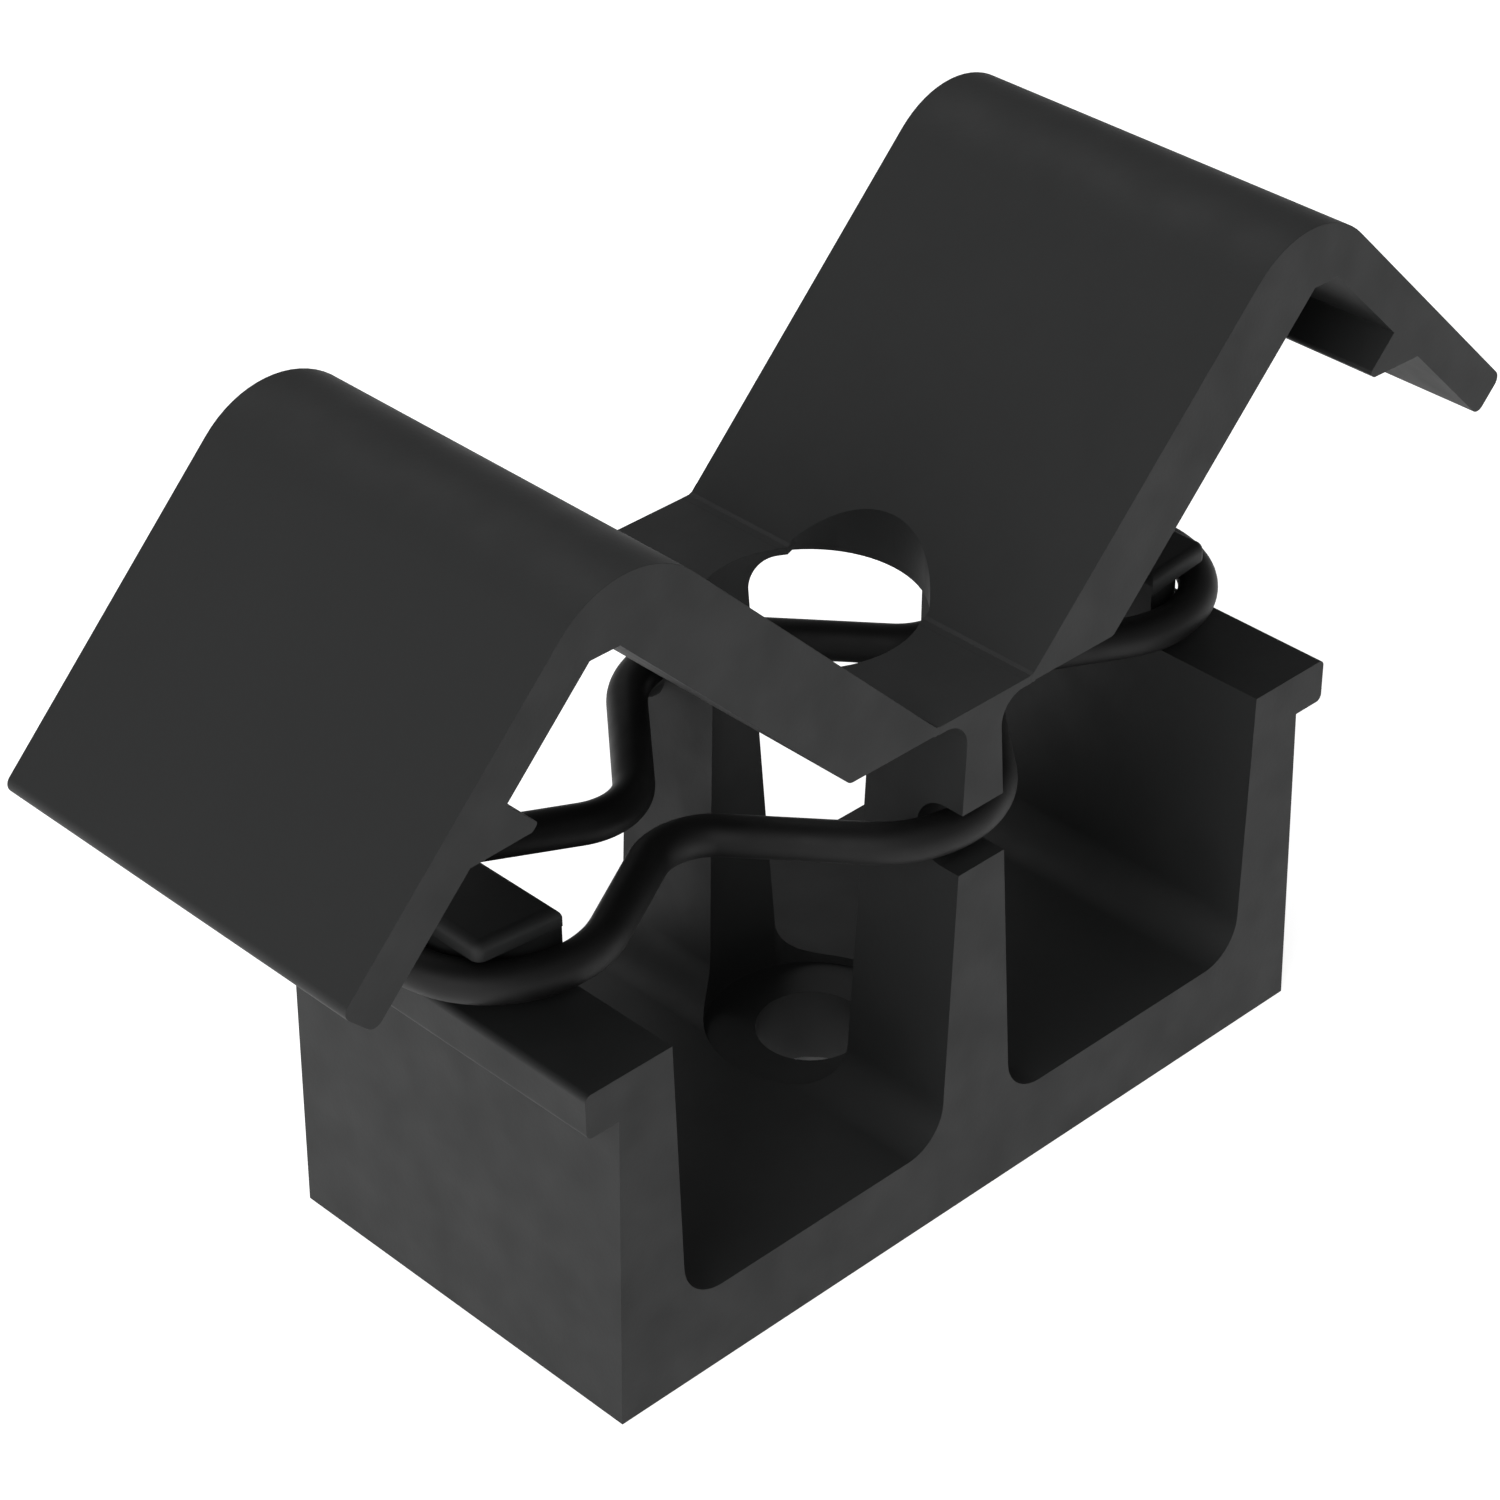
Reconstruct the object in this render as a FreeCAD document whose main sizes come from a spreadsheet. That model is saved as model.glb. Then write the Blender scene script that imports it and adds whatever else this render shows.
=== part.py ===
"""Slot nut cable tie: a moulded two-trough cable block with film-hinged lids and a rubber ring.

Frame: X across the block, Y along the troughs, Z up. The origin is where the axis of the fixing
bore meets the flat underside. The lids are drawn as moulded, standing open.
"""

import FreeCAD
import Part
import math
import os

import Sketcher
from FreeCAD import Placement, Rotation, Vector

os.makedirs("parts", exist_ok=True)
doc = FreeCAD.newDocument("slot_nut_cable_tie")

# Sizes in millimetres and degrees, one row of the sheet each.
SIZES = [
    # block and its two troughs
    ("block_width", 40.0, "width of the block at its foot"),
    ("block_depth", 19.5, "length of the troughs, front face to back face"),
    ("outer_draft", 1.8, "lean of the outer faces, degrees"),
    ("floor_height", 4.0, "underside to trough floor"),
    ("wall_height", 17.15, "underside to the top of the outer walls"),
    ("flange_half", 21.15, "middle plane to the flange's outer edge"),
    ("flange_thick", 2.05, "thickness of the out-turned flange"),
    ("flange_round", 0.3, "radius on the flange's outer edges"),
    ("trough_half_top", 16.75, "middle plane to the outer wall's inner face at its top"),
    ("trough_draft", 1.4, "lean of the outer walls' inner faces, degrees"),
    ("trough_corner", 2.0, "radius in the troughs' corners"),
    # centre wall
    ("rib_half_top", 0.9, "half thickness of the centre wall under the film hinges"),
    ("rib_draft", 3.2, "lean of the centre wall's faces, degrees"),
    ("valley_height", 24.8, "underside to the flat between the lids"),
    ("film_thick", 0.35, "thickness of the film hinges"),
    ("film_root", 1.2, "radius between the centre wall and the films"),
    ("notch_depth", 2.4, "depth of the ring notch from either face"),
    ("notch_height", 2.8, "height of the ring notch"),
    # fixing bore
    ("bore_radius", 4.6, "driver and screw head access"),
    ("lid_bite", 4.85, "radius of the bite that the access takes from the lids"),
    ("seat_height", 3.6, "underside to the screw head's seat"),
    ("screw_radius", 2.4, "clearance hole for the fixing screw"),
    # ring hooks
    ("neck_radius", 3.7, "half-round neck that the ring lies around"),
    ("neck_out", 0.2, "trough's inner face to the middle of the neck's half round"),
    ("cap_thick", 0.85, "thickness of the cap over the neck"),
    ("cap_round", 0.45, "radius on the cap's top edges and outer corners"),
    ("neck_height", 2.45, "wall top to the cap's underside"),
    ("cap_over", 0.05, "cap beyond the neck at front and back, on the trough's side"),
    ("cap_taper", 0.4, "narrowing of the cap's either end towards the outside"),
    # rubber ring
    ("ring_radius", 0.87, "half the ring's thickness"),
    ("ring_gap", 0.1, "clearance between the ring and a neck"),
    ("ring_notch_gap", 0.5, "clearance between the ring and a notch at the middle plane"),
    ("ring_notch_bend", 4.75, "bend around the centre wall's end"),
    ("ring_waist_bend", 2.75, "bend at the waist over a trough"),
    ("ring_waist_back", 7.48, "waist to the middle of the neck's half round"),
    ("ring_waist_half", 1.58, "middle of the ring to the depth's middle at the waist"),
    # lids
    ("lid_open", 45.0, "rise of a lid as moulded, degrees"),
    ("hinge_out", 2.75, "middle plane to a lid's hinge line"),
    ("hinge_gap", 0.06, "clearance around a lid's rounded hinge edge"),
    ("lid_reach", 22.0, "hinge line to the lid's outer face"),
    ("lid_thick", 3.53, "thickness of the lid's cover"),
    ("lid_drop", 19.27, "lid's top face to the end of its lip"),
    ("lip_thick", 1.95, "thickness of the lip"),
    ("ridge_round", 4.4, "radius along the lid's outer ridge"),
    ("lid_chamfer", 1.0, "chamfer inside between cover and lip"),
    ("lip_round", 0.45, "radius on the lip's end"),
    ("heel_round", 0.4, "radius where the hinge bevel meets the underside"),
    ("catch_drop", 10.25, "lid's top face to the barb's catch"),
    ("barb_height", 1.95, "barb's reach from the lip"),
    ("barb_land", 0.4, "flat at the barb's tip"),
    ("barb_run", 2.5, "catch to the end of the barb's lead-in"),
    ("barb_round", 0.15, "radius on the barb's tip"),
]

sheet = doc.addObject("Spreadsheet::Sheet", "size")
for row, (name, value, note) in enumerate(SIZES, start=1):
    sheet.set("A%d" % row, name)
    sheet.set("B%d" % row, str(value))
    sheet.set("C%d" % row, note)
    sheet.setAlias("B%d" % row, name)
doc.recompute()


def derived(name, formula, note):
    """Add a size that follows from the others."""
    row = derived.row
    sheet.set("A%d" % row, name)
    sheet.set("B%d" % row, "=" + formula)
    sheet.set("C%d" % row, note)
    sheet.setAlias("B%d" % row, name)
    derived.row += 1
    sheet.recompute()


derived.row = len(SIZES) + 2
derived("half_width", "block_width / 2", "half the foot")
derived("half_depth", "block_depth / 2", "half the depth")
derived("flange_under", "wall_height - flange_thick", "underside of the flange")
derived(
    "outer_half_top",
    "half_width - flange_under * tan(outer_draft * 1deg)",
    "outer face where it meets the flange",
)
derived(
    "trough_half_floor",
    "trough_half_top - (wall_height - floor_height) * tan(trough_draft * 1deg)",
    "outer wall's inner face at the floor",
)
derived("film_under", "valley_height - film_thick", "underside of the films")
derived(
    "rib_half_floor",
    "rib_half_top + (film_under - floor_height) * tan(rib_draft * 1deg)",
    "half thickness of the centre wall at the floor",
)
derived("film_half", "film_thick / 2", "half a film")
derived("film_end", "hinge_out - film_half - hinge_gap", "edge of the films")
derived("hinge_height", "valley_height - film_half", "height of the hinge lines")
derived("cap_under", "wall_height + neck_height", "underside of the caps")
derived("cap_top", "cap_under + cap_thick", "top of the caps")
derived("hook_out", "trough_half_top + neck_out", "middle of the necks' half rounds")
derived("cap_out", "hook_out + neck_radius", "outer edge of the caps")
derived("ring_waist_out", "hook_out - ring_waist_back", "middle plane to the waist")
derived("cap_half", "neck_radius + cap_over", "half the cap's length on the trough's side")
derived("cap_tip_half", "cap_half - cap_taper", "half the cap's length at its outer edge")
derived("notch_half", "notch_height / 2", "radius of the notch's end")
derived("notch_middle", "wall_height + notch_half", "height of the notch's middle")
derived("notch_ceiling", "wall_height + notch_height", "top of the notch")
derived("notch_centre", "half_depth - notch_depth + notch_half", "centre of the notch's round end")
derived("ring_hook_bend", "neck_radius + ring_gap + ring_radius", "bend around a neck")
derived(
    "ring_start",
    "half_depth - notch_depth + ring_notch_gap + ring_radius",
    "ring's middle in the notch",
)
derived("barb_tip", "lid_reach - lip_thick - barb_height", "hinge line to the barb's tip")
derived("lip_inner", "lid_reach - lip_thick", "hinge line to the lip's inner face")
derived("cover_under", "lid_thick - film_half", "hinge line down to the cover's underside")
derived("catch_level", "catch_drop - film_half", "hinge line down to the catch")
derived("lid_foot", "lid_drop - film_half", "hinge line down to the lip's end")


def cell(name):
    """The number a cell holds."""
    value = sheet.get(name)
    return float(getattr(value, "Value", value))


def new_body(name):
    """An empty body whose label names its file."""
    body = doc.addObject("PartDesign::Body", name)
    body.Label = name
    return body


def plane_of(body, role):
    """One of the body's own origin planes."""
    for item in body.Origin.OriginFeatures:
        if item.Role == role:
            return item
    raise ValueError(role)


def new_sketch(body, name, role, offset=None):
    """A sketch on an origin plane, raised by a cell when one is given."""
    sketch = body.newObject("Sketcher::SketchObject", name)
    sketch.AttachmentSupport = [(plane_of(body, role), "")]
    sketch.MapMode = "FlatFace"
    if offset:
        sketch.setExpression("AttachmentOffset.Base.z", "size." + offset)
    doc.recompute()
    return sketch


def place(sketch, geometry, point, across, up):
    """Tie a point of the sketch to two cells, or to an axis where the cell is None."""
    for kind, formula in (("DistanceX", across), ("DistanceY", up)):
        if formula is None:
            axis = -2 if kind == "DistanceX" else -1
            sketch.addConstraint(Sketcher.Constraint("PointOnObject", geometry, point, axis))
            continue
        position = sketch.getPoint(geometry, point)
        value = position.x if kind == "DistanceX" else position.y
        index = sketch.addConstraint(
            Sketcher.Constraint(kind, -1, 1, geometry, point, value)
        )
        sketch.setExpression("Constraints[%d]" % index, formula)


def value_of(formula):
    """Number of a formula over the sheet's cells."""
    if formula is None:
        return 0.0
    value = sheet.evalExpression(formula)
    return float(getattr(value, "Value", value))


def outline(sketch, corners):
    """A closed outline of straight edges through corners given as pairs of formulas."""
    points = [Vector(value_of(a), value_of(b), 0) for a, b in corners]
    count = len(points)
    lines = []
    for i in range(count):
        lines.append(
            sketch.addGeometry(Part.LineSegment(points[i], points[(i + 1) % count]), False)
        )
    for i in range(count):
        sketch.addConstraint(
            Sketcher.Constraint("Coincident", lines[i], 2, lines[(i + 1) % count], 1)
        )
    for line, (across, up) in zip(lines, corners):
        place(sketch, line, 1, across, up)
    doc.recompute()
    return lines


def circle(sketch, radius):
    """A circle about the sketch's origin."""
    item = sketch.addGeometry(Part.Circle(Vector(0, 0, 0), Vector(0, 0, 1), cell(radius)), False)
    sketch.addConstraint(Sketcher.Constraint("Coincident", item, 3, -1, 1))
    index = sketch.addConstraint(Sketcher.Constraint("Radius", item, cell(radius)))
    sketch.setExpression("Constraints[%d]" % index, "size." + radius)
    doc.recompute()


def edges_at(feature, spots, axis):
    """Names of the straight edges along an axis that pass through the given spots."""
    names = []
    for number, edge in enumerate(feature.Shape.Edges, start=1):
        if len(edge.Vertexes) != 2:
            continue
        a = edge.Vertexes[0].Point
        b = edge.Vertexes[1].Point
        run = b - a
        if run.Length == 0 or abs(run.normalize().dot(axis)) < 0.9999:
            continue
        for spot in spots:
            off = (a - spot) - axis * (a - spot).dot(axis)
            if off.Length < 0.01:
                names.append("Edge%d" % number)
    if not names:
        raise ValueError("no edge at %s" % spots)
    return names


def round_edges(body, name, base, spots, axis, radius):
    """Fillet the named edges of a feature."""
    item = body.newObject("PartDesign::Fillet", name)
    item.Base = (base, edges_at(base, spots, axis))
    item.setExpression("Radius", "size." + radius)
    doc.recompute()
    return item


ALONG = Vector(0, 1, 0)
UPWARD = Vector(0, 0, 1)

# Block: half the section, drawn once, run along the troughs and mirrored.
base = new_body("base_body")
section = new_sketch(base, "block_section", "XZ_Plane")
outline(
    section,
    [
        (None, None),
        ("size.half_width", None),
        ("size.outer_half_top", "size.flange_under"),
        ("size.flange_half", "size.flange_under"),
        ("size.flange_half", "size.wall_height"),
        ("size.trough_half_top", "size.wall_height"),
        ("size.trough_half_floor", "size.floor_height"),
        ("size.rib_half_floor", "size.floor_height"),
        ("size.rib_half_top", "size.film_under"),
        ("size.film_end", "size.film_under"),
        ("size.film_end", "size.valley_height"),
        (None, "size.valley_height"),
    ],
)
block = base.newObject("PartDesign::Pad", "block")
block.Profile = section
block.SideType = "Symmetric"
block.setExpression("Length", "size.block_depth")
doc.recompute()
whole = base.newObject("PartDesign::Mirrored", "both_troughs")
whole.Originals = [block]
whole.MirrorPlane = (plane_of(base, "YZ_Plane"), [""])
base.Tip = whole
doc.recompute()


def both(across, up):
    """Spots on the two sides of the middle plane."""
    return [Vector(side * cell(across), 0, cell(up)) for side in (-1, 1)]


troughs = round_edges(
    base,
    "trough_corners",
    whole,
    both("trough_half_floor", "floor_height") + both("rib_half_floor", "floor_height"),
    ALONG,
    "trough_corner",
)
roots = round_edges(
    base, "film_roots", troughs, both("rib_half_top", "film_under"), ALONG, "film_root"
)
flanges = round_edges(
    base,
    "flange_edges",
    roots,
    both("flange_half", "flange_under") + both("flange_half", "wall_height"),
    ALONG,
    "flange_round",
)

# Ring notches at both ends of the centre wall, round at their inner end.
notch_sketch = new_sketch(base, "notch_profile", "YZ_Plane")
reach = cell("half_depth")
middle = cell("notch_centre")
low = cell("wall_height")
high = cell("notch_ceiling")
radius = cell("notch_half")
level = cell("notch_middle")
bottom = notch_sketch.addGeometry(
    Part.LineSegment(Vector(middle, low, 0), Vector(reach, low, 0)), False
)
mouth = notch_sketch.addGeometry(
    Part.LineSegment(Vector(reach, low, 0), Vector(reach, high, 0)), False
)
ceiling = notch_sketch.addGeometry(
    Part.LineSegment(Vector(reach, high, 0), Vector(middle, high, 0)), False
)
end = notch_sketch.addGeometry(
    Part.ArcOfCircle(
        Part.Circle(Vector(middle, level, 0), Vector(0, 0, 1), radius),
        math.pi / 2,
        3 * math.pi / 2,
    ),
    False,
)
notch_sketch.addConstraint(Sketcher.Constraint("Coincident", bottom, 2, mouth, 1))
notch_sketch.addConstraint(Sketcher.Constraint("Coincident", mouth, 2, ceiling, 1))
notch_sketch.addConstraint(Sketcher.Constraint("Tangent", ceiling, 2, end, 1))
notch_sketch.addConstraint(Sketcher.Constraint("Tangent", end, 2, bottom, 1))
notch_sketch.addConstraint(Sketcher.Constraint("Horizontal", bottom))
notch_sketch.addConstraint(Sketcher.Constraint("Vertical", mouth))
place(notch_sketch, bottom, 2, "size.half_depth", "size.wall_height")
place(notch_sketch, end, 3, "size.notch_centre", "size.notch_middle")
doc.recompute()
notch = base.newObject("PartDesign::Pocket", "back_notch")
notch.Profile = notch_sketch
notch.SideType = "Symmetric"
notch.setExpression("Length", "size.trough_half_floor")
doc.recompute()
notches = base.newObject("PartDesign::Mirrored", "both_notches")
notches.Originals = [notch]
notches.MirrorPlane = (plane_of(base, "XZ_Plane"), [""])
base.Tip = notches
doc.recompute()

# Ring hooks: a half-round neck on the wall's top, under a cap with rounded top edges.
neck_sketch = new_sketch(base, "neck_outline", "XY_Plane", "wall_height")
inner = cell("trough_half_top")
centre = cell("hook_out")
radius = cell("neck_radius")
flat = neck_sketch.addGeometry(
    Part.LineSegment(Vector(inner, radius, 0), Vector(inner, -radius, 0)), False
)
front = neck_sketch.addGeometry(
    Part.LineSegment(Vector(inner, -radius, 0), Vector(centre, -radius, 0)), False
)
arc = neck_sketch.addGeometry(
    Part.ArcOfCircle(
        Part.Circle(Vector(centre, 0, 0), Vector(0, 0, 1), radius), -math.pi / 2, math.pi / 2
    ),
    False,
)
back = neck_sketch.addGeometry(
    Part.LineSegment(Vector(centre, radius, 0), Vector(inner, radius, 0)), False
)
neck_sketch.addConstraint(Sketcher.Constraint("Coincident", flat, 2, front, 1))
neck_sketch.addConstraint(Sketcher.Constraint("Tangent", front, 2, arc, 1))
neck_sketch.addConstraint(Sketcher.Constraint("Tangent", arc, 2, back, 1))
neck_sketch.addConstraint(Sketcher.Constraint("Coincident", back, 2, flat, 1))
place(neck_sketch, flat, 1, "size.trough_half_top", "size.neck_radius")
place(neck_sketch, flat, 2, "size.trough_half_top", "-size.neck_radius")
place(neck_sketch, arc, 3, "size.hook_out", None)
index = neck_sketch.addConstraint(Sketcher.Constraint("Radius", arc, radius))
neck_sketch.setExpression("Constraints[%d]" % index, "size.neck_radius")
doc.recompute()
neck = base.newObject("PartDesign::Pad", "right_neck")
neck.Profile = neck_sketch
neck.setExpression("Length", "size.neck_height")
doc.recompute()
cap_sketch = new_sketch(base, "cap_outline", "XY_Plane", "cap_under")
outline(
    cap_sketch,
    [
        ("size.trough_half_top", "-size.cap_half"),
        ("size.cap_out", "-size.cap_tip_half"),
        ("size.cap_out", "size.cap_tip_half"),
        ("size.trough_half_top", "size.cap_half"),
    ],
)
cap = base.newObject("PartDesign::Pad", "right_cap")
cap.Profile = cap_sketch
cap.setExpression("Length", "size.cap_thick")
doc.recompute()
hooks = base.newObject("PartDesign::Mirrored", "both_hooks")
hooks.Originals = [neck, cap]
hooks.MirrorPlane = (plane_of(base, "YZ_Plane"), [""])
base.Tip = hooks
doc.recompute()
rims = []
for number, edge in enumerate(hooks.Shape.Edges, start=1):
    ends = [vertex.Point for vertex in edge.Vertexes]
    at_top = all(abs(end.z - cell("cap_top")) < 0.01 for end in ends)
    over_wall = all(abs(end.x) > cell("trough_half_floor") for end in ends)
    at_corner = all(
        abs(abs(end.x) - cell("cap_out")) < 0.01
        and abs(abs(end.y) - cell("cap_tip_half")) < 0.01
        for end in ends
    )
    if over_wall and at_top:
        rims.append("Edge%d" % number)
    elif at_corner and ends[0].y * ends[1].y > 0:
        rims.append("Edge%d" % number)
cap_edges = base.newObject("PartDesign::Fillet", "cap_edges")
cap_edges.Base = (hooks, rims)
cap_edges.setExpression("Radius", "size.cap_round")
doc.recompute()

# Fixing bore: wide access from above, a seat for the screw head and the screw's hole.
access_sketch = new_sketch(base, "access_circle", "XY_Plane", "seat_height")
circle(access_sketch, "bore_radius")
access = base.newObject("PartDesign::Pocket", "access_bore")
access.Profile = access_sketch
access.Reversed = True
access.setExpression("Length", "size.valley_height")
doc.recompute()
screw_sketch = new_sketch(base, "screw_circle", "XY_Plane")
circle(screw_sketch, "screw_radius")
screw = base.newObject("PartDesign::Pocket", "screw_hole")
screw.Profile = screw_sketch
screw.Reversed = True
screw.setExpression("Length", "size.valley_height")
doc.recompute()

# Lid: drawn shut about its hinge line, then swung up to its moulded position.
shut = new_body("lid_blank")
lid_section = new_sketch(shut, "lid_section", "XZ_Plane")
corners = [
    (None, "size.film_half"),
    ("size.lid_reach", "size.film_half"),
    ("size.lid_reach", "-size.lid_foot"),
    ("size.lip_inner", "-size.lid_foot"),
    ("size.lip_inner", "-(size.catch_level + size.barb_run)"),
    ("size.barb_tip", "-(size.catch_level + size.barb_land)"),
    ("size.barb_tip", "-size.catch_level"),
    ("size.lip_inner", "-size.catch_level"),
    ("size.lip_inner", "-size.cover_under"),
    ("(size.cover_under - size.film_half) * tan(size.lid_open * 1deg)", "-size.cover_under"),
    (None, "-size.film_half"),
]
points = [Vector(value_of(a), value_of(b), 0) for a, b in corners]
lines = []
for i in range(len(points) - 1):
    lines.append(lid_section.addGeometry(Part.LineSegment(points[i], points[i + 1]), False))
for i in range(len(lines) - 1):
    lid_section.addConstraint(Sketcher.Constraint("Coincident", lines[i], 2, lines[i + 1], 1))
for line, (across, up) in zip(lines, corners):
    place(lid_section, line, 1, across, up)
lid_section.addConstraint(Sketcher.Constraint("PointOnObject", lines[-1], 2, -2))
edge = lid_section.addGeometry(
    Part.ArcOfCircle(
        Part.Circle(Vector(0, 0, 0), Vector(0, 0, 1), cell("film_half")),
        math.pi / 2,
        3 * math.pi / 2,
    ),
    False,
)
lid_section.addConstraint(Sketcher.Constraint("Coincident", edge, 3, -1, 1))
lid_section.addConstraint(Sketcher.Constraint("Coincident", edge, 1, lines[0], 1))
lid_section.addConstraint(Sketcher.Constraint("Coincident", edge, 2, lines[-1], 2))
doc.recompute()
lid_pad = shut.newObject("PartDesign::Pad", "lid_run")
lid_pad.Profile = lid_section
lid_pad.SideType = "Symmetric"
lid_pad.setExpression("Length", "size.block_depth")
doc.recompute()


def lid_spot(across, up):
    """A spot in the lid's section, from its hinge line."""
    return Vector(value_of(across), 0, value_of(up))


ridge = round_edges(
    shut, "ridge", lid_pad, [lid_spot("size.lid_reach", "size.film_half")], ALONG, "ridge_round"
)
inside = shut.newObject("PartDesign::Chamfer", "inner_chamfer")
inside.Base = (
    ridge,
    edges_at(ridge, [lid_spot("size.lip_inner", "-size.cover_under")], ALONG),
)
inside.setExpression("Size", "size.lid_chamfer")
doc.recompute()
lip_end = round_edges(
    shut,
    "lip_end",
    inside,
    [
        lid_spot("size.lid_reach", "-size.lid_foot"),
        lid_spot("size.lip_inner", "-size.lid_foot"),
    ],
    ALONG,
    "lip_round",
)
heel = round_edges(
    shut, "heel", lip_end, [lid_spot(corners[9][0], corners[9][1])], ALONG, "heel_round"
)
barb = round_edges(
    shut,
    "barb_edges",
    heel,
    [
        lid_spot("size.barb_tip", "-size.catch_level"),
        lid_spot("size.barb_tip", "-(size.catch_level + size.barb_land)"),
    ],
    ALONG,
    "barb_round",
)
shut.setExpression("Placement.Base.x", "size.hinge_out")
shut.setExpression("Placement.Base.z", "size.hinge_height")
shut.Placement = Placement(shut.Placement.Base, Rotation(ALONG, -cell("lid_open")))
shut.setExpression("Placement.Rotation.Axis.y", "1")
shut.setExpression("Placement.Rotation.Angle", "-size.lid_open * 1deg")
doc.recompute()

# The bore's core runs straight up between the open lids and takes a bite from each.
core = doc.addObject("Part::Cylinder", "bore_core")
core.setExpression("Radius", "size.lid_bite")
core.setExpression("Height", "size.valley_height + size.lid_reach")
doc.recompute()
right_lid = doc.addObject("Part::Cut", "right_lid")
right_lid.Base = shut
right_lid.Tool = core
right_lid.Label = "right_lid"
doc.recompute()
left_lid = doc.addObject("Part::Mirroring", "left_lid")
left_lid.Source = right_lid
left_lid.Base = Vector(0, 0, 0)
left_lid.Normal = Vector(1, 0, 0)
left_lid.Label = "left_lid"
doc.recompute()

# Rubber ring: a quarter of its run, from the notch by the waist to the hook, mirrored twice.
ring = new_body("retaining_ring")
route = new_sketch(ring, "ring_route", "XY_Plane", "notch_middle")
start = Vector(0, cell("ring_start") - cell("ring_notch_bend"), 0)
waist = Vector(cell("ring_waist_out"), cell("ring_waist_half") + cell("ring_waist_bend"), 0)
hook = Vector(cell("hook_out"), 0, 0)


def crossing(first, first_radius, second, second_radius):
    """Touching points of the line that crosses between two bends of opposite hand."""
    gap = second - first
    lean = math.asin((first_radius + second_radius) / gap.Length)
    heading = math.atan2(gap.y, gap.x)
    return heading, lean


heading, lean = crossing(start, cell("ring_notch_bend"), waist, cell("ring_waist_bend"))
down = heading - lean
normal = Vector(-math.sin(down), math.cos(down), 0)
a = start + normal * cell("ring_notch_bend")
b = waist - normal * cell("ring_waist_bend")
heading, lean = crossing(waist, cell("ring_waist_bend"), hook, cell("ring_hook_bend"))
rise = heading + lean
normal_up = Vector(-math.sin(rise), math.cos(rise), 0)
c = waist - normal_up * cell("ring_waist_bend")
d = hook + normal_up * cell("ring_hook_bend")


def bend(centre, radius, first, last):
    """An arc about a centre, anticlockwise from one point to another."""
    start_angle = math.atan2(first.y - centre.y, first.x - centre.x)
    end_angle = math.atan2(last.y - centre.y, last.x - centre.x)
    return Part.ArcOfCircle(Part.Circle(centre, Vector(0, 0, 1), radius), start_angle, end_angle)


top = Vector(0, cell("ring_start"), 0)
far = Vector(cell("hook_out") + cell("ring_hook_bend"), 0, 0)
notch_bend = route.addGeometry(bend(start, cell("ring_notch_bend"), a, top), False)
inward = route.addGeometry(Part.LineSegment(a, b), False)
waist_bend = route.addGeometry(bend(waist, cell("ring_waist_bend"), b, c), False)
outward = route.addGeometry(Part.LineSegment(c, d), False)
hook_bend = route.addGeometry(bend(hook, cell("ring_hook_bend"), far, d), False)
route.addConstraint(Sketcher.Constraint("Tangent", notch_bend, 1, inward, 1))
route.addConstraint(Sketcher.Constraint("Tangent", inward, 2, waist_bend, 1))
route.addConstraint(Sketcher.Constraint("Tangent", waist_bend, 2, outward, 1))
route.addConstraint(Sketcher.Constraint("Tangent", outward, 2, hook_bend, 2))
route.addConstraint(Sketcher.Constraint("PointOnObject", notch_bend, 2, -2))
route.addConstraint(Sketcher.Constraint("PointOnObject", hook_bend, 1, -1))
place(route, notch_bend, 3, None, "size.ring_start - size.ring_notch_bend")
place(
    route,
    waist_bend,
    3,
    "size.ring_waist_out",
    "size.ring_waist_half + size.ring_waist_bend",
)
place(route, hook_bend, 3, "size.hook_out", None)
for item, size in (
    (notch_bend, "ring_notch_bend"),
    (waist_bend, "ring_waist_bend"),
    (hook_bend, "ring_hook_bend"),
):
    index = route.addConstraint(Sketcher.Constraint("Radius", item, cell(size)))
    route.setExpression("Constraints[%d]" % index, "size." + size)
doc.recompute()
cross = new_sketch(ring, "ring_section", "YZ_Plane")
disc = cross.addGeometry(
    Part.Circle(
        Vector(cell("ring_start"), cell("notch_middle"), 0), Vector(0, 0, 1), cell("ring_radius")
    ),
    False,
)
place(cross, disc, 3, "size.ring_start", "size.notch_middle")
index = cross.addConstraint(Sketcher.Constraint("Radius", disc, cell("ring_radius")))
cross.setExpression("Constraints[%d]" % index, "size.ring_radius")
doc.recompute()
run = ring.newObject("PartDesign::AdditivePipe", "ring_quarter")
run.Profile = cross
run.Spine = (route, [])
doc.recompute()
loop = ring.newObject("PartDesign::MultiTransform", "ring_loop")
across = ring.newObject("PartDesign::Mirrored", "across")
across.MirrorPlane = (plane_of(ring, "YZ_Plane"), [""])
along = ring.newObject("PartDesign::Mirrored", "along")
along.MirrorPlane = (plane_of(ring, "XZ_Plane"), [""])
loop.Originals = [run]
loop.Transformations = [across, along]
ring.Tip = loop
doc.recompute()

# Nothing is written unless every feature and every shape is sound.
for item in doc.Objects:
    if "Invalid" in item.State or "Error" in item.State:
        raise RuntimeError("%s failed: %s" % (item.Name, item.State))
PARTS = [base, left_lid, right_lid, ring]
for item in PARTS:
    shape = item.Shape
    if shape.isNull() or not shape.isValid() or len(shape.Solids) != 1:
        raise RuntimeError("%s has no sound shape" % item.Label)
for item in PARTS:
    shape = item.Shape
    shape.exportStep("parts/%s.step" % item.Label)
    box = shape.BoundBox
    print(
        "%-16s %9.2f mm3  x %.2f..%.2f  y %.2f..%.2f  z %.2f..%.2f"
        % (item.Label, shape.Volume, box.XMin, box.XMax, box.YMin, box.YMax, box.ZMin, box.ZMax)
    )
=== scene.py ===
"""Looks of a two-trough cable block: matte black moulding, film-hinged lids and a rubber ring."""

import math

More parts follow.
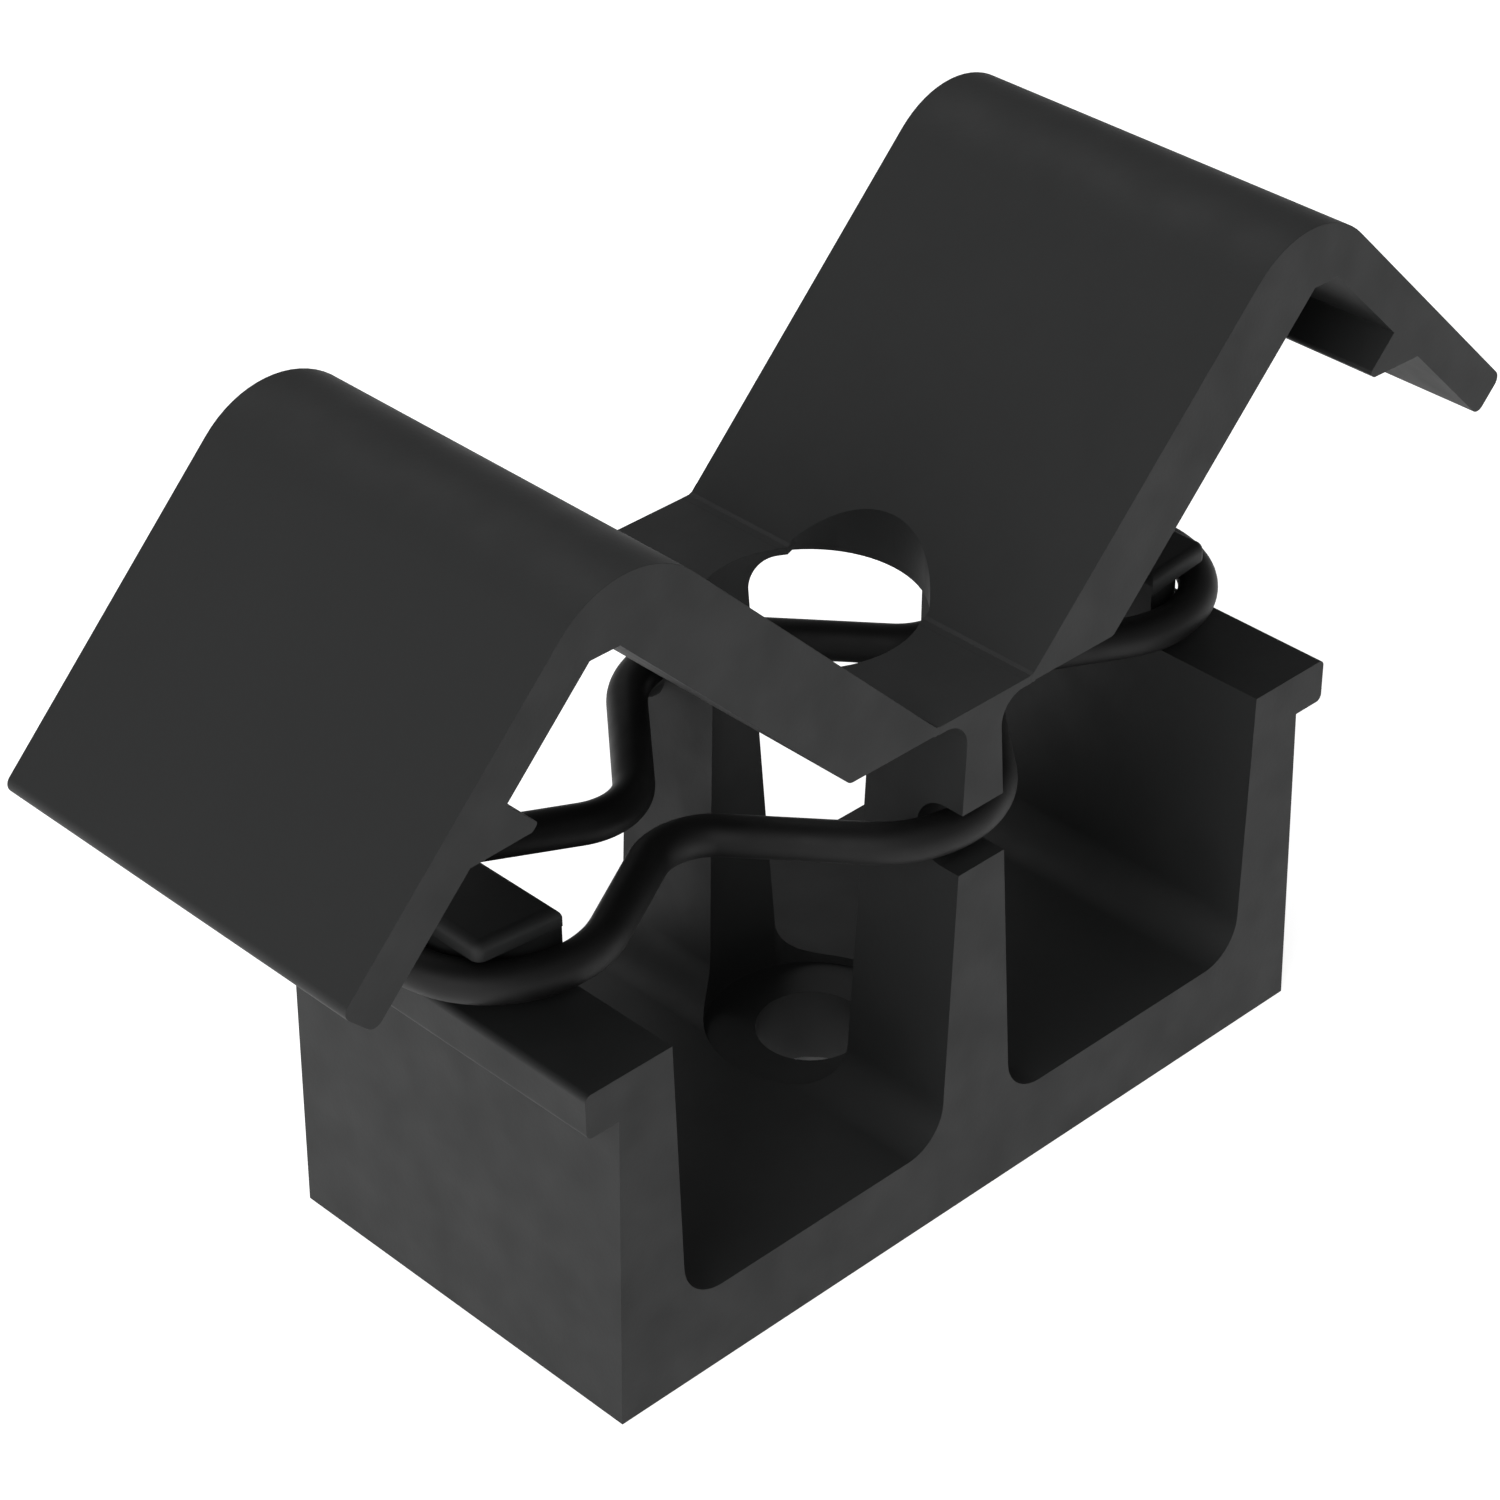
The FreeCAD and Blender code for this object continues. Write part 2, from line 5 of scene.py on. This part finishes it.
import bmesh
import bpy
import numpy as np
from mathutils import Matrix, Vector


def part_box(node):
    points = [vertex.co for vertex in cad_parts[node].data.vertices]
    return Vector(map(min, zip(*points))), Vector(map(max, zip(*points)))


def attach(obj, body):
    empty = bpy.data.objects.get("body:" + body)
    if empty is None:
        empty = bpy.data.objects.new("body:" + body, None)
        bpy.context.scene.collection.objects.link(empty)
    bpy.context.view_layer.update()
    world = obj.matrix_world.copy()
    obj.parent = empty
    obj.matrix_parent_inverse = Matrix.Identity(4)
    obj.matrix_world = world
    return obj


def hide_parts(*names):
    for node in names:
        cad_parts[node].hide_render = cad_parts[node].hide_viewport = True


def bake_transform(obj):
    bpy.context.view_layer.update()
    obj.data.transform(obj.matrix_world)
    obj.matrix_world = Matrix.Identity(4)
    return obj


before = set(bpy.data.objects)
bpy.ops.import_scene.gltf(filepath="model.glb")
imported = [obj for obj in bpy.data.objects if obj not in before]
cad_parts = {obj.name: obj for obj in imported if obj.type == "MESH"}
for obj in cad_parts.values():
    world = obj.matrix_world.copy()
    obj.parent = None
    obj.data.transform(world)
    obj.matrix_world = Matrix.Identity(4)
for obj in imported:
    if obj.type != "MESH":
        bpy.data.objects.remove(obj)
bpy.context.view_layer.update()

# Block: one injection moulding in black polyamide, with two cable troughs, the centre wall and
# its stepped bore, the film webs and the ring hooks. A screw through the bore holds it down.
# Its mould was spark eroded, which leaves a fine matte grain and barely broken edges.
MM = 0.001
EDGE_BREAK = 0.12 * MM
EDGE_ANGLE = math.radians(25)
FLAT_ANGLE = math.radians(0.6)
GRAIN = 0.22 * MM
GRAIN_HEIGHT = 0.012 * MM
FLOW_MARK = 9 * MM
GLOSS_PATCH = 2.5 * MM
WELD_GAP = 0.001 * MM


def linear(colour):
    """sRGB hex text as linear red, green, blue and full alpha."""
    parts = [int(colour[i : i + 2], 16) / 255 for i in (1, 3, 5)]
    parts = [c / 12.92 if c <= 0.04045 else ((c + 0.055) / 1.055) ** 2.4 for c in parts]
    return (*parts, 1.0)


def add_node(tree, kind, settings=None, inputs=None, links=None):
    """A node with its settings, its input values, and its inputs linked from other sockets."""
    node = tree.nodes.new(kind)
    for name, value in (settings or {}).items():
        setattr(node, name, value)
    for name, value in (inputs or {}).items():
        node.inputs[name].default_value = value
    for name, socket in (links or {}).items():
        tree.links.new(socket, node.inputs[name])
    return node


def new_material(name):
    """An empty material and its node tree."""
    material = bpy.data.materials.new(name)
    material.use_nodes = True
    material.node_tree.nodes.clear()
    return material, material.node_tree


def eroded_polyamide():
    """Polyamide 6 from a spark-eroded mould: near black, a soft broad gloss and a fine grain."""
    material, tree = new_material("eroded_black_polyamide")
    place = add_node(tree, "ShaderNodeTexCoord").outputs["Object"]
    flow = add_node(
        tree,
        "ShaderNodeTexNoise",
        inputs={"Scale": 1 / FLOW_MARK, "Detail": 3.0, "Roughness": 0.5},
        links={"Vector": place},
    )
    tone = add_node(
        tree,
        "ShaderNodeMix",
        settings={"data_type": "RGBA"},
        inputs={"A": linear("#1d1e1e"), "B": linear("#212222")},
        links={"Factor": flow.outputs["Fac"]},
    )
    patches = add_node(
        tree,
        "ShaderNodeTexNoise",
        inputs={"Scale": 1 / GLOSS_PATCH, "Detail": 2.0},
        links={"Vector": place},
    )
    gloss = add_node(
        tree,
        "ShaderNodeMapRange",
        inputs={"From Min": 0.3, "From Max": 0.7, "To Min": 0.6, "To Max": 0.68},
        links={"Value": patches.outputs["Fac"]},
    )
    grain = add_node(
        tree,
        "ShaderNodeTexNoise",
        inputs={"Scale": 1 / GRAIN, "Detail": 2.0, "Roughness": 0.6},
        links={"Vector": place},
    )
    relief = add_node(
        tree,
        "ShaderNodeBump",
        inputs={"Strength": 0.5, "Distance": GRAIN_HEIGHT},
        links={"Height": grain.outputs["Fac"]},
    )
    surface = add_node(
        tree,
        "ShaderNodeBsdfPrincipled",
        inputs={"IOR": 1.53, "Specular IOR Level": 0.4},
        links={
            "Base Color": tone.outputs["Result"],
            "Roughness": gloss.outputs["Result"],
            "Normal": relief.outputs["Normal"],
        },
    )
    add_node(tree, "ShaderNodeOutputMaterial", links={"Surface": surface.outputs["BSDF"]})
    return material


def finish_moulding(node, material):
    """Give a moulding its plastic and its broken edges.

    Its triangles are welded, flat ones merged, sharp edges bevelled and the rest shaded smooth.
    """
    node.data.materials.clear()
    node.data.materials.append(material)
    node.data.polygons.foreach_set("use_smooth", [True] * len(node.data.polygons))
    weld = node.modifiers.new("weld", "WELD")
    weld.merge_threshold = WELD_GAP
    flats = node.modifiers.new("flats", "DECIMATE")
    flats.decimate_type = "DISSOLVE"
    flats.angle_limit = FLAT_ANGLE
    edges = node.modifiers.new("edges", "BEVEL")
    edges.limit_method = "ANGLE"
    edges.angle_limit = EDGE_ANGLE
    edges.width = EDGE_BREAK
    edges.segments = 2
    edges.harden_normals = True
    node.modifiers.new("even_normals", "WEIGHTED_NORMAL").keep_sharp = True


polyamide = eroded_polyamide()
finish_moulding(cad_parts["base_body"], polyamide)

# Lids: each is part of the same moulding, a thick cover with a lip at a right angle and a snap
# barb inside the lip. They are moulded standing open and hang on thin webs of the same plastic.
for name in ("left_lid", "right_lid"):
    finish_moulding(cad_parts[name], polyamide)

# Film hinges: the 0.35 mm webs that carry the lids. The plastic runs on from the block's flat
# into each cover without a joint and bends there. The bore takes the middle out of each web.
HINGE_OUT = 2.75 * MM
FILM = 0.35 * MM
SKIN = 0.005 * MM
WEB_REACH = 0.55 * MM
BORE = 4.6 * MM
LID_BITE = 4.85 * MM
BORE_CLEAR = 0.02 * MM
WEB_ROWS = 7
DOUBLE_GAP = 0.0001 * MM
LID_OPEN = math.radians(45)
BLOCK_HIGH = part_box("base_body")[1]
HINGE_HEIGHT = BLOCK_HIGH.z - FILM / 2


def add_object(name, data):
    """A new object that shows a mesh, lamp or camera in the scene."""
    made = bpy.data.objects.new(name, data)
    bpy.context.scene.collection.objects.link(made)
    return made


def outward_mesh(name, points, faces):
    """A mesh of points and faces, with doubled points merged and its faces turned outward."""
    mesh = bpy.data.meshes.new(name)
    mesh.from_pydata(points.reshape(-1, 3).tolist(), [], faces)
    shape = bmesh.new()
    shape.from_mesh(mesh)
    bmesh.ops.remove_doubles(shape, verts=shape.verts, dist=DOUBLE_GAP)
    bmesh.ops.recalc_face_normals(shape, faces=shape.faces)
    shape.to_mesh(mesh)
    shape.free()
    return mesh


def web_line(side, steps=9):
    """Middle line of a web across the hinge: level, then turned up about the hinge line."""
    level = np.linspace(-WEB_REACH, -FILM / 2, steps)
    risen = np.linspace(FILM / 2, WEB_REACH, steps)
    x = np.concatenate([level, risen * math.cos(LID_OPEN)])
    z = np.concatenate([0 * level, risen * math.sin(LID_OPEN)])
    tilt = np.concatenate([0 * level, 0 * risen + LID_OPEN])
    return side * (HINGE_OUT + x), HINGE_HEIGHT + z, tilt


def film_web(name, side, end):
    """A web between the bore's edge and one face.

    Its outline lies half a film to either side of the middle line and runs along Y. Its near end
    lies on the bore, at the root of the bore's radius squared less x squared.
    """
    x, z, tilt = web_line(side)
    half = FILM / 2 + SKIN
    aside = side * half * np.sin(tilt)
    above = half * np.cos(tilt)
    outline_x = np.concatenate([x - aside, (x + aside)[::-1]])
    outline_z = np.concatenate([z + above, (z - above)[::-1]])
    across = side * (outline_x - side * HINGE_OUT)
    edge = np.interp(across, [-FILM / 2, FILM / 2], [BORE, LID_BITE]) + BORE_CLEAR
    near = np.sqrt(edge**2 - outline_x**2)
    far = np.full_like(near, BLOCK_HIGH.y - SKIN)
    along = np.linspace(0, 1, WEB_ROWS)[:, None]
    y = end * (near + (far - near) * along)
    points = np.stack(
        [np.broadcast_to(outline_x, y.shape), y, np.broadcast_to(outline_z, y.shape)], axis=-1
    )
    rows, count = y.shape
    step = np.arange(count)
    turn = (step + 1) % count
    row = np.arange(rows - 1)[:, None] * count
    quads = np.stack([row + step, row + turn, row + count + turn, row + count + step], axis=-1)
    faces = quads.reshape(-1, 4).tolist()
    for start in (0, (rows - 1) * count):
        for i in range(count // 2 - 1):
            last = start + count - 1 - i
            faces.append([start + i, start + i + 1, last - 1, last])
    return add_object(name, outward_mesh(name, points, faces))


for side, lid in ((-1, "left_cover"), (1, "right_cover")):
    for end, place in ((-1, "front"), (1, "back")):
        web = film_web("%s_web_%s" % (lid.split("_")[0], place), side, end)
        web.data.materials.append(polyamide)
        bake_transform(web)

# Rubber ring: a moulded loop of round black rubber, stretched around the two hooks and pinched
# through the notches of the centre wall. It is smoother than the plastic and has a soft shine.
RING_LOW, RING_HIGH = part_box("retaining_ring")
RING_HALF = (RING_HIGH.z - RING_LOW.z) / 2
RING_LEVEL = (RING_HIGH.z + RING_LOW.z) / 2
HOOK_BEND = 4.67 * MM
NOTCH_BEND = 4.75 * MM
WAIST_BEND = 2.75 * MM
WAIST_OUT = 9.47 * MM
WAIST_HALF = 1.58 * MM
RUBBER_MOTTLE = 1.2 * MM


def turned(centre, radius, first, last, steps=40):
    """Points of an arc about a centre, between two headings."""
    a = np.linspace(first, last, steps)
    return np.stack([centre[0] + radius * np.cos(a), centre[1] + radius * np.sin(a)], axis=-1)


def ring_line():
    """The ring's middle line: a quarter of three touching arcs, mirrored along and across."""
    notch = np.array([0, RING_HIGH.y - RING_HALF - NOTCH_BEND])
    waist = np.array([WAIST_OUT, WAIST_HALF + WAIST_BEND])
    hook = np.array([RING_HIGH.x - RING_HALF - HOOK_BEND, 0])
    gap = waist - notch
    fall = math.atan2(gap[1], gap[0]) - math.asin((NOTCH_BEND + WAIST_BEND) / np.hypot(*gap))
    gap = hook - waist
    rise = math.atan2(gap[1], gap[0]) + math.asin((WAIST_BEND + HOOK_BEND) / np.hypot(*gap))
    quarter = math.pi / 2
    line = np.concatenate(
        [
            turned(notch, NOTCH_BEND, quarter, quarter + fall),
            turned(waist, WAIST_BEND, fall - quarter, rise - quarter),
            turned(hook, HOOK_BEND, rise + quarter, 0),
        ]
    )
    front = line[::-1][1:] * [1, -1]
    right = np.concatenate([line, front])
    left = right[::-1][1:-1] * [-1, 1]
    return np.concatenate([right, left])


def round_tube(line, radius, level, around=36):
    """A round section carried along a level closed line, square to its run at every point.

    At an angle round the section, a point lies the radius times its cosine outward from the line
    and the radius times its sine above the level.
    """
    run = np.roll(line, -1, axis=0) - np.roll(line, 1, axis=0)
    run /= np.linalg.norm(run, axis=1)[:, None]
    outward = np.stack([-run[:, 1], run[:, 0]], axis=-1)
    angle = np.linspace(0, 2 * math.pi, around, endpoint=False)
    sideways = radius * np.cos(angle)
    flat = line[:, None, :] + outward[:, None, :] * sideways[None, :, None]
    height = np.broadcast_to(level + radius * np.sin(angle), flat.shape[:2])
    return np.concatenate([flat, height[..., None]], axis=-1)


def nitrile_rubber():
    """Moulded nitrile rubber: deep black, an even soft shine and a faint mottle."""
    material, tree = new_material("moulded_nitrile_rubber")
    place = add_node(tree, "ShaderNodeTexCoord").outputs["Object"]
    mottle = add_node(
        tree,
        "ShaderNodeTexNoise",
        inputs={"Scale": 1 / RUBBER_MOTTLE, "Detail": 3.0},
        links={"Vector": place},
    )
    tone = add_node(
        tree,
        "ShaderNodeMix",
        settings={"data_type": "RGBA"},
        inputs={"A": linear("#0e0e0e"), "B": linear("#131313")},
        links={"Factor": mottle.outputs["Fac"]},
    )
    gloss = add_node(
        tree,
        "ShaderNodeMapRange",
        inputs={"From Min": 0.3, "From Max": 0.7, "To Min": 0.54, "To Max": 0.62},
        links={"Value": mottle.outputs["Fac"]},
    )
    relief = add_node(
        tree,
        "ShaderNodeBump",
        inputs={"Strength": 0.2, "Distance": GRAIN_HEIGHT},
        links={"Height": mottle.outputs["Fac"]},
    )
    surface = add_node(
        tree,
        "ShaderNodeBsdfPrincipled",
        inputs={"IOR": 1.5, "Specular IOR Level": 0.35},
        links={
            "Base Color": tone.outputs["Result"],
            "Roughness": gloss.outputs["Result"],
            "Normal": relief.outputs["Normal"],
        },
    )
    add_node(tree, "ShaderNodeOutputMaterial", links={"Surface": surface.outputs["BSDF"]})
    return material


tube = round_tube(ring_line(), RING_HALF, RING_LEVEL)
runs, around = tube.shape[:2]
along = np.arange(runs)[:, None]
about = np.arange(around)
here = along * around
there = (along + 1) % runs * around
following = (about + 1) % around
quads = np.stack([here + about, there + about, there + following, here + following], axis=-1)
ring_mesh = outward_mesh("rubber_ring", tube, quads.reshape(-1, 4).tolist())
ring_mesh.polygons.foreach_set("use_smooth", [True] * len(ring_mesh.polygons))
ring_mesh.materials.append(nitrile_rubber())
rubber_ring = add_object("rubber_ring", ring_mesh)
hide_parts("retaining_ring")
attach(rubber_ring, "block")

# Studio: a plain white sheet under the part and a pale room, with soft lamps. The sheet shows
# white to the eye and in the gloss of the plastic and takes the part's soft shadow. Where the
# block's foot stands on it, its glow is cut for the eye: painted shade under the block.
FLOOR_SIZE = 4.0
FLOOR_DROP = 0.01 * MM
SHEET = "#e8e8e8"
SHEET_GLOW = 0.8
ROOM_LEVEL = 0.26
ROOM_WHITE = 1.0
# FOOT_HALF and FOOT_FADE mark where the sheet's glow is cut for the eye: painted shade under the
# block's foot.
FOOT_HALF = (20 * MM, BLOCK_HIGH.y, 0)
FOOT_FADE = 0.5 * MM
LAMP_AIM = (0, 0, 0.018)


def white_sheet():
    """Matte paper that keeps its shadow and glows for the eye and for gloss.

    For the eye, the glow falls to nothing over FOOT_FADE inside the outline of the block's foot,
    a painted shade under the block.
    """
    material, tree = new_material("white_paper_sheet")
    paper = add_node(tree, "ShaderNodeBsdfDiffuse", inputs={"Color": linear(SHEET)})
    place = add_node(tree, "ShaderNodeTexCoord").outputs["Object"]
    quarter = add_node(
        tree, "ShaderNodeVectorMath", settings={"operation": "ABSOLUTE"}, links={0: place}
    )
    beyond = add_node(
        tree,
        "ShaderNodeVectorMath",
        settings={"operation": "SUBTRACT"},
        inputs={1: FOOT_HALF},
        links={0: quarter.outputs["Vector"]},
    )
    sides = add_node(tree, "ShaderNodeSeparateXYZ", links={"Vector": beyond.outputs["Vector"]})
    off_foot = add_node(
        tree,
        "ShaderNodeMath",
        settings={"operation": "MAXIMUM"},
        links={0: sides.outputs["X"], 1: sides.outputs["Y"]},
    )
    # Painted shade: the glow seen by the eye fades out inside the block's foot.
    painted_shade_glow = add_node(
        tree,
        "ShaderNodeMapRange",
        inputs={"From Min": -FOOT_FADE, "From Max": 0, "To Min": 0, "To Max": SHEET_GLOW},
        links={"Value": off_foot.outputs["Value"]},
    )
    rays = add_node(tree, "ShaderNodeLightPath")
    in_view = add_node(
        tree,
        "ShaderNodeMix",
        inputs={"A": SHEET_GLOW},
        links={"Factor": rays.outputs["Is Camera Ray"], "B": painted_shade_glow.outputs["Result"]},
    )
    glow = add_node(tree, "ShaderNodeEmission", links={"Strength": in_view.outputs["Result"]})
    seen = add_node(
        tree,
        "ShaderNodeAddShader",
        links={0: paper.outputs["BSDF"], 1: glow.outputs["Emission"]},
    )
    eye = add_node(
        tree,
        "ShaderNodeMath",
        settings={"operation": "MAXIMUM"},
        links={0: rays.outputs["Is Camera Ray"], 1: rays.outputs["Is Glossy Ray"]},
    )
    shown = add_node(
        tree,
        "ShaderNodeMath",
        settings={"operation": "MAXIMUM"},
        links={0: eye.outputs["Value"], 1: rays.outputs["Is Transmission Ray"]},
    )
    chosen = add_node(
        tree,
        "ShaderNodeMixShader",
        links={0: shown.outputs["Value"], 1: paper.outputs["BSDF"], 2: seen.outputs["Shader"]},
    )
    add_node(tree, "ShaderNodeOutputMaterial", links={"Surface": chosen.outputs["Shader"]})
    return material


reach = FLOOR_SIZE / 2
floor_mesh = bpy.data.meshes.new("floor")
floor_corners = [(-reach, -reach), (reach, -reach), (reach, reach), (-reach, reach)]
floor_mesh.from_pydata([(x, y, -FLOOR_DROP) for x, y in floor_corners], [], [(0, 1, 2, 3)])
floor_mesh.materials.append(white_sheet())
floor = add_object("floor", floor_mesh)

world = bpy.data.worlds.new("pale_room")
bpy.context.scene.world = world
world.use_nodes = True
tree = world.node_tree
tree.nodes.clear()
room = add_node(tree, "ShaderNodeBackground", inputs={"Strength": ROOM_LEVEL})
white = add_node(tree, "ShaderNodeBackground", inputs={"Strength": ROOM_WHITE})
for light in (room, white):
    light.inputs["Color"].default_value = (1, 1, 1, 1)
rays = add_node(tree, "ShaderNodeLightPath")
chosen = add_node(
    tree,
    "ShaderNodeMixShader",
    links={
        0: rays.outputs["Is Camera Ray"],
        1: room.outputs["Background"],
        2: white.outputs["Background"],
    },
)
add_node(tree, "ShaderNodeOutputWorld", links={"Surface": chosen.outputs["Shader"]})


def soft_lamp(name, place, size, watts):
    """A square area lamp aimed at the part's middle."""
    lamp = bpy.data.lights.new(name, "AREA")
    lamp.size = size
    lamp.energy = watts
    holder = add_object(name, lamp)
    holder.location = place
    aim = np.array(LAMP_AIM) - np.array(place)
    flat = math.hypot(aim[0], aim[1])
    holder.rotation_euler = (math.atan2(flat, -aim[2]), 0, math.atan2(-aim[0], aim[1]))


soft_lamp("left_lamp", (-0.42, -0.12, 0.28), 0.34, 1.4)
soft_lamp("top_lamp", (0.04, 0.22, 0.42), 0.24, 0.33)

# Camera: above and to the front left of the part, level, at the picture's own angle. It stands
# about 0.18 m away behind a long lens, shifted because the part isn't in the picture's middle.
VIEW_PLACE = (-0.09851, -0.10090, 0.11301)
VIEW_DOWN = 36.43
VIEW_TURN = -44.82
LENS = 99.65
SENSOR = 36.0
SHIFT = (-0.0598, 0.1172)
CLIP = (0.01, 20)
camera = bpy.data.cameras.new("camera")
camera.sensor_width = SENSOR
camera.lens = LENS
camera.shift_x, camera.shift_y = SHIFT
camera.clip_start, camera.clip_end = CLIP
viewer = add_object("camera", camera)
viewer.location = VIEW_PLACE
viewer.rotation_euler = (math.radians(90 - VIEW_DOWN), 0, math.radians(VIEW_TURN))
bpy.context.scene.camera = viewer
bpy.context.scene.view_settings.view_transform = "Standard"
